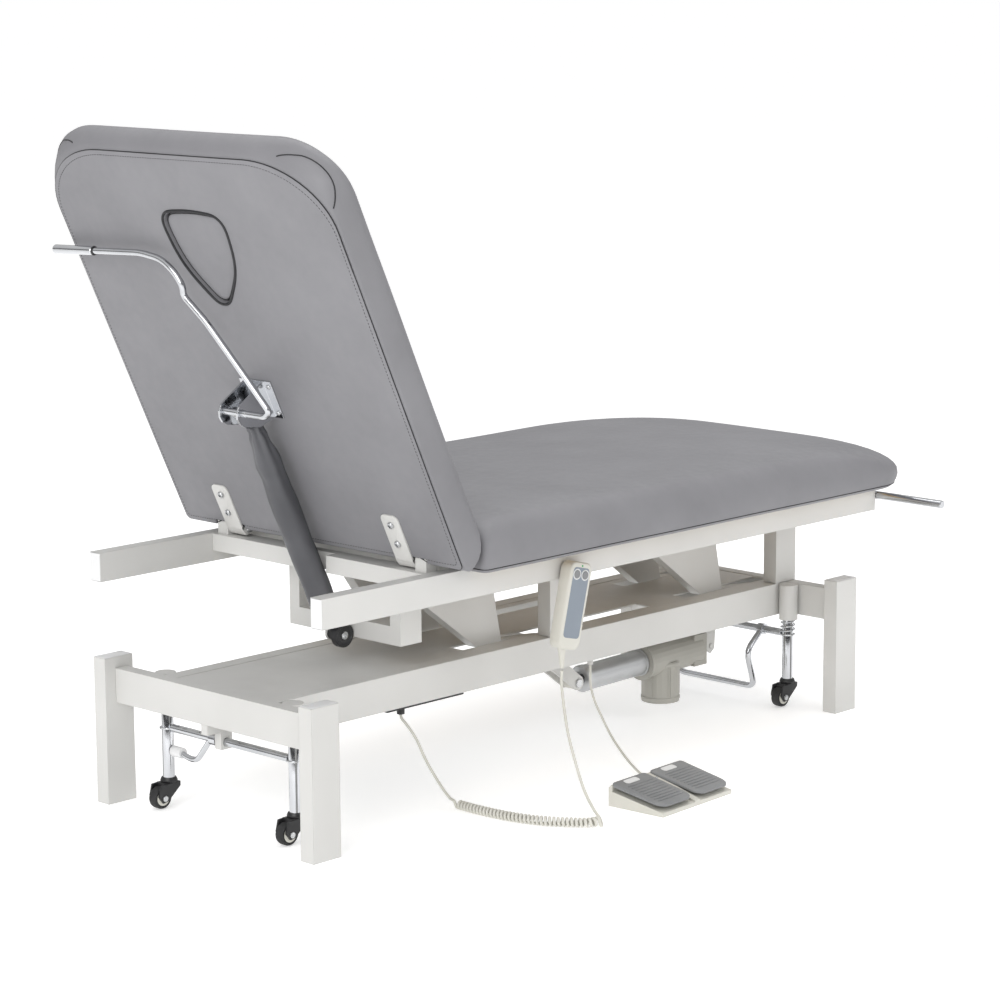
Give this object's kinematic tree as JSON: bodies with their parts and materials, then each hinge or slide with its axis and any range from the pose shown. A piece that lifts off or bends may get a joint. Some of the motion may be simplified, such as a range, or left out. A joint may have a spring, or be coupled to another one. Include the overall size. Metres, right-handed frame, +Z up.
{
  "type": "examination couch",
  "caption": "Two-section electric examination couch on a white tubular lift frame with retractable castors, raised backrest on a locking gas spring, hand control and double foot switch",
  "frame": {"origin": "middle of the couch on the floor, under the centre of its bounding box without the free cords and foot switch", "axes": "+X runs from the head end (raised backrest) to the foot end, +Y to the far long side, +Z up"},
  "size_m": [1.523, 0.9416, 1.1578],
  "materials": {
    "white_paint": "satin white powder coat",
    "chrome": "bright chrome plating",
    "steel": "drawn steel",
    "vinyl": "warm grey grained vinyl, topstitched seams",
    "dark_vinyl": "dark grey vinyl sleeve",
    "black_plastic": "black moulded plastic",
    "tyre": "dark grey rubber tread",
    "ivory_plastic": "ivory moulded plastic",
    "grey_plastic": "grey moulded plastic",
    "plywood": "birch plywood",
    "aluminium": "silver anodised aluminium"
  },
  "bodies": {
    "base": {"post_head_near": "white_paint", "post_head_far": "white_paint", "post_foot_near": "white_paint", "post_foot_far": "white_paint", "end_rail_head": "white_paint", "end_rail_foot": "white_paint", "side_rail_near": "white_paint", "side_rail_far": "white_paint", "tray_panel": "white_paint", "actuator_mount": "white_paint", "control_box": "black_plastic", "foot_switch_base": "ivory_plastic", "handset_cord_upper": "ivory_plastic", "handset_cord_coil": "ivory_plastic", "handset_cord_lower": "ivory_plastic", "foot_switch_cord": "ivory_plastic"},
    "lift_arm_head_body": {"lift_arm_head": "white_paint"},
    "lift_arm_foot_body": {"lift_arm_foot": "white_paint"},
    "actuator": {"actuator_tube": "aluminium", "actuator_motor": "ivory_plastic"},
    "actuator_rod_body": {"actuator_rod": "steel"},
    "upper_frame": {"upper_rail_near": "white_paint", "upper_rail_far": "white_paint", "hinge_cross_member": "white_paint", "spring_subframe": "white_paint", "mid_cross_frame": "white_paint", "foot_cross_frame": "white_paint", "seat_board": "plywood", "seat_cushion": "vinyl", "foot_bar": "chrome", "spring_pivot_cap": "black_plastic", "handset_body": "ivory_plastic"},
    "handset_button_up_body": {"handset_button_up": "grey_plastic"},
    "handset_button_down_body": {"handset_button_down": "grey_plastic"},
    "backrest": {"back_panel": "vinyl", "back_cushion": "vinyl", "hinge_bracket_near": "white_paint", "hinge_bracket_far": "white_paint", "clevis_bracket": "chrome"},
    "release_lever_body": {"release_lever": "chrome"},
    "face_plug_body": {"face_plug": "vinyl"},
    "gas_spring_body": {"gas_cylinder": "black_plastic", "gas_spring_sleeve": "dark_vinyl"},
    "gas_rod_body": {"gas_rod": "steel"},
    "foot_pedal_up_body": {"foot_pedal_up": "grey_plastic"},
    "foot_pedal_down_body": {"foot_pedal_down": "grey_plastic"},
    "castor_lever_body": {"castor_lever_head": "chrome"},
    "castor_pedal_body": {"castor_pedal_foot": "chrome"},
    "castor_leg_head_near_body": {"castor_leg_head_near": "chrome"},
    "castor_fork_head_near_body": {"castor_fork_head_near": "black_plastic"},
    "castor_wheel_head_near_body": {"castor_wheel_head_near": "tyre"},
    "castor_leg_head_far_body": {"castor_leg_head_far": "chrome"},
    "castor_fork_head_far_body": {"castor_fork_head_far": "black_plastic"},
    "castor_wheel_head_far_body": {"castor_wheel_head_far": "tyre"},
    "castor_leg_foot_near_body": {"castor_leg_foot_near": "chrome"},
    "castor_fork_foot_near_body": {"castor_fork_foot_near": "black_plastic"},
    "castor_wheel_foot_near_body": {"castor_wheel_foot_near": "tyre"},
    "castor_leg_foot_far_body": {"castor_leg_foot_far": "chrome"},
    "castor_fork_foot_far_body": {"castor_fork_foot_far": "black_plastic"},
    "castor_wheel_foot_far_body": {"castor_wheel_foot_far": "tyre"}
  },
  "joints": [
    {"name": "lift", "type": "hinge", "parent": "base", "child": "lift_arm_head_body", "pos_m": [0.00146, 0, 0.212], "axis": [0, 1, 0], "range_deg": [0, 42]},
    {"name": "lift_foot", "type": "hinge", "parent": "base", "child": "lift_arm_foot_body", "pos_m": [0.60146, 0, 0.212], "axis": [0, 1, 0], "range_deg": [0, 42]},
    {"name": "lift_level", "type": "hinge", "parent": "lift_arm_head_body", "child": "upper_frame", "pos_m": [-0.31854, 0, 0.395], "axis": [0, 1, 0], "range_deg": [-42, 0]},
    {"name": "actuator_tilt", "type": "hinge", "parent": "base", "child": "actuator", "pos_m": [0.50446, -0.04, 0.118], "axis": [0, -1, 0], "range_deg": [0, 7.4]},
    {"name": "actuator_extend", "type": "slide", "parent": "actuator", "child": "actuator_rod_body", "axis": [-0.9998, 0, -0.0189], "range_m": [0, 0.107]},
    {"name": "backrest", "type": "hinge", "parent": "upper_frame", "child": "backrest", "pos_m": [-0.43654, 0, 0.446], "axis": [0, -1, 0], "range_deg": [0, 65.06]},
    {"name": "gas_spring_tilt", "type": "hinge", "parent": "upper_frame", "child": "gas_spring_body", "pos_m": [-0.41454, 0, 0.286], "axis": [0, -1, 0], "range_deg": [0, 44.58]},
    {"name": "gas_spring_stroke", "type": "slide", "parent": "gas_spring_body", "child": "gas_rod_body", "axis": [0.4159, 0, -0.9094], "range_m": [0, 0.11118], "deforming": ["gas_spring_sleeve"]},
    {"name": "release_lever", "type": "hinge", "parent": "backrest", "child": "release_lever_body", "pos_m": [-0.634, 0, 0.69275], "axis": [0, 1, 0], "range_deg": [0, 3], "stiffness_Nm_per_rad": 4},
    {"name": "face_plug_pull", "type": "slide", "parent": "backrest", "child": "face_plug_body", "axis": [0.9067, 0, 0.4217], "range_m": [0, 0.09]},
    {"name": "handset_button_up", "type": "slide", "parent": "upper_frame", "child": "handset_button_up_body", "axis": [0, 1, 0], "range_m": [0, 0.0012], "stiffness_N_per_m": 400},
    {"name": "handset_button_down", "type": "slide", "parent": "upper_frame", "child": "handset_button_down_body", "axis": [0, 1, 0], "range_m": [0, 0.0012], "stiffness_N_per_m": 400},
    {"name": "foot_pedal_up", "type": "hinge", "parent": "base", "child": "foot_pedal_up_body", "pos_m": [-0.09378, -0.39233, 0.028], "axis": [0.9976, 0.0698, 0], "range_deg": [0, 1.2], "stiffness_Nm_per_rad": 30},
    {"name": "foot_pedal_down", "type": "hinge", "parent": "base", "child": "foot_pedal_down_body", "pos_m": [-0.002, -0.38591, 0.028], "axis": [0.9976, 0.0698, 0], "range_deg": [0, 1.2], "stiffness_Nm_per_rad": 30},
    {"name": "castor_lever_turn", "type": "hinge", "parent": "base", "child": "castor_lever_body", "pos_m": [-0.65554, 0, 0.14], "axis": [0, 1, 0], "range_deg": [0, 40]},
    {"name": "castor_pedal_press", "type": "hinge", "parent": "base", "child": "castor_pedal_body", "pos_m": [0.61246, 0, 0.14], "axis": [0, -1, 0], "range_deg": [0, 8]},
    {"name": "castor_drop_head_near", "type": "slide", "parent": "base", "child": "castor_leg_head_near_body", "axis": [0, 0, -1], "range_m": [0, 0.0009]},
    {"name": "castor_swivel_head_near", "type": "hinge", "parent": "castor_leg_head_near_body", "child": "castor_fork_head_near_body", "pos_m": [-0.65554, -0.16, 0.05], "axis": [0, 0, 1], "continuous": true},
    {"name": "castor_roll_head_near", "type": "hinge", "parent": "castor_fork_head_near_body", "child": "castor_wheel_head_near_body", "pos_m": [-0.67554, -0.16, 0.02], "axis": [0, 1, 0], "continuous": true},
    {"name": "castor_drop_head_far", "type": "slide", "parent": "base", "child": "castor_leg_head_far_body", "axis": [0, 0, -1], "range_m": [0, 0.0009]},
    {"name": "castor_swivel_head_far", "type": "hinge", "parent": "castor_leg_head_far_body", "child": "castor_fork_head_far_body", "pos_m": [-0.65554, 0.16, 0.05], "axis": [0, 0, 1], "continuous": true},
    {"name": "castor_roll_head_far", "type": "hinge", "parent": "castor_fork_head_far_body", "child": "castor_wheel_head_far_body", "pos_m": [-0.67554, 0.16, 0.02], "axis": [0, 1, 0], "continuous": true},
    {"name": "castor_drop_foot_near", "type": "slide", "parent": "base", "child": "castor_leg_foot_near_body", "axis": [0, 0, -1], "range_m": [0, 0.0009]},
    {"name": "castor_swivel_foot_near", "type": "hinge", "parent": "castor_leg_foot_near_body", "child": "castor_fork_foot_near_body", "pos_m": [0.61246, -0.16, 0.05], "axis": [0, 0, 1], "continuous": true},
    {"name": "castor_roll_foot_near", "type": "hinge", "parent": "castor_fork_foot_near_body", "child": "castor_wheel_foot_near_body", "pos_m": [0.59246, -0.16, 0.02], "axis": [0, 1, 0], "continuous": true},
    {"name": "castor_drop_foot_far", "type": "slide", "parent": "base", "child": "castor_leg_foot_far_body", "axis": [0, 0, -1], "range_m": [0, 0.0009]},
    {"name": "castor_swivel_foot_far", "type": "hinge", "parent": "castor_leg_foot_far_body", "child": "castor_fork_foot_far_body", "pos_m": [0.61246, 0.16, 0.05], "axis": [0, 0, 1], "continuous": true},
    {"name": "castor_roll_foot_far", "type": "hinge", "parent": "castor_fork_foot_far_body", "child": "castor_wheel_foot_far_body", "pos_m": [0.59246, 0.16, 0.02], "axis": [0, 1, 0], "continuous": true}
  ],
  "couplings": [
    {"joint": "lift_foot", "follows": "lift", "ratio": 1},
    {"joint": "lift_level", "follows": "lift", "ratio": -1},
    {"joint": "actuator_tilt", "follows": "lift", "ratio": 0.17529},
    {"joint": "actuator_extend", "follows": "lift", "m_per_rad": 0.14576},
    {"joint": "gas_spring_tilt", "follows": "backrest", "ratio": 0.68513},
    {"joint": "gas_spring_stroke", "follows": "backrest", "m_per_rad": 0.097895},
    {"joint": "castor_drop_head_near", "follows": "castor_lever_turn", "m_per_rad": 0.001288},
    {"joint": "castor_drop_head_far", "follows": "castor_lever_turn", "m_per_rad": 0.001288},
    {"joint": "castor_drop_foot_near", "follows": "castor_pedal_press", "m_per_rad": 0.006439},
    {"joint": "castor_drop_foot_far", "follows": "castor_pedal_press", "m_per_rad": 0.006439}
  ]
}
